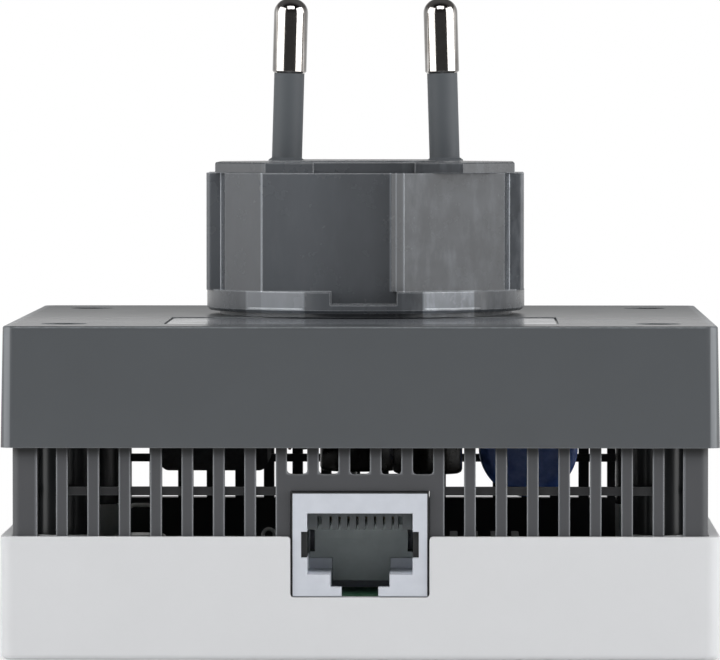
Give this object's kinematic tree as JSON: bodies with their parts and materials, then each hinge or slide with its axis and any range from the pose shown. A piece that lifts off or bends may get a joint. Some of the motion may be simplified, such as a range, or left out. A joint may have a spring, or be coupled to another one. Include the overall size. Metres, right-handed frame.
{
  "type": "powerline adapter",
  "caption": "Plug-in powerline adapter: light front cover, vented grille band, dark back shell with mains plug and a network socket in one side.",
  "frame": {"origin": "centre of the front face, on which the adapter lies", "axes": "+Z from the front cover towards the mains pins, -Y towards the network socket, +X to the right seen from the socket side"},
  "size_m": [0.0802, 0.08, 0.0743],
  "materials": {
    "light_plastic": "satin light grey moulding",
    "dark_plastic": "fine textured dark grey moulding",
    "plug_plastic": "satin dark grey moulding, slightly scuffed",
    "label_film": "blank glossy film",
    "screw_steel": "plated steel",
    "pin_nickel": "bright nickel plate",
    "sleeve_plastic": "dark grey insulation",
    "strap_brass": "plain brass",
    "power_laminate": "paper laminate",
    "board_laminate": "green solder mask",
    "ferrite": "dark ferrite",
    "winding_tape": "dark yellow tape",
    "black_plastic": "black moulding compound",
    "enamelled_wire": "enamelled copper",
    "capacitor_sleeve": "dark shrink sleeve",
    "film_box": "dipped film capacitor",
    "varistor_lacquer": "dark blue lacquer, slightly uneven",
    "tinned_metal": "tinned",
    "fuse_ceramic": "ceramic",
    "sink_aluminium": "mill finish",
    "contact_metal": "plated",
    "socket_plastic": "satin cool grey",
    "insert_plastic": "dark grey",
    "led_resin": "clear resin",
    "clear_plastic": "clear moulding"
  },
  "bodies": {
    "adapter": {"front_cover": "light_plastic", "vent_frame": "dark_plastic", "back_shell": "dark_plastic", "rating_label": "label_film", "case_screws": "screw_steel", "plug_body": "plug_plastic", "plug_cap": "plug_plastic", "pin_left": "pin_nickel", "pin_right": "pin_nickel", "pin_sleeve_left": "sleeve_plastic", "pin_sleeve_right": "sleeve_plastic", "pin_strap_left": "strap_brass", "pin_strap_right": "strap_brass", "power_board": "power_laminate", "board_screws": "screw_steel", "transformer_core": "ferrite", "transformer_winding": "winding_tape", "transformer_bobbin": "black_plastic", "choke_core": "ferrite", "choke_windings": "enamelled_wire", "bulk_capacitors": "capacitor_sleeve", "film_capacitor": "film_box", "varistor": "varistor_lacquer", "varistor_leads": "tinned_metal", "fuse_tube": "fuse_ceramic", "fuse_caps": "tinned_metal", "coupling_transformer": "black_plastic", "rectifier": "black_plastic", "heat_plate": "sink_aluminium", "header_base": "black_plastic", "header_pins": "contact_metal", "header_socket": "black_plastic", "main_board": "board_laminate", "jack_housing": "socket_plastic", "jack_insert": "insert_plastic", "jack_rails": "insert_plastic", "jack_contacts": "contact_metal", "network_transformer": "black_plastic", "main_chip": "black_plastic", "heat_sink": "sink_aluminium", "memory_chip": "black_plastic", "flash_chip": "black_plastic", "crystal": "tinned_metal", "surface_capacitors": "sink_aluminium", "status_leds": "led_resin", "light_pipe": "clear_plastic", "switch_body": "black_plastic"},
    "button": {"pair_button": "light_plastic", "switch_plunger": "insert_plastic"}
  },
  "joints": [
    {"name": "pair_button_press", "type": "slide", "parent": "adapter", "child": "button", "axis": [0, 0, 1], "range_m": [0, 0.0004], "stiffness_N_per_m": 2500}
  ]
}
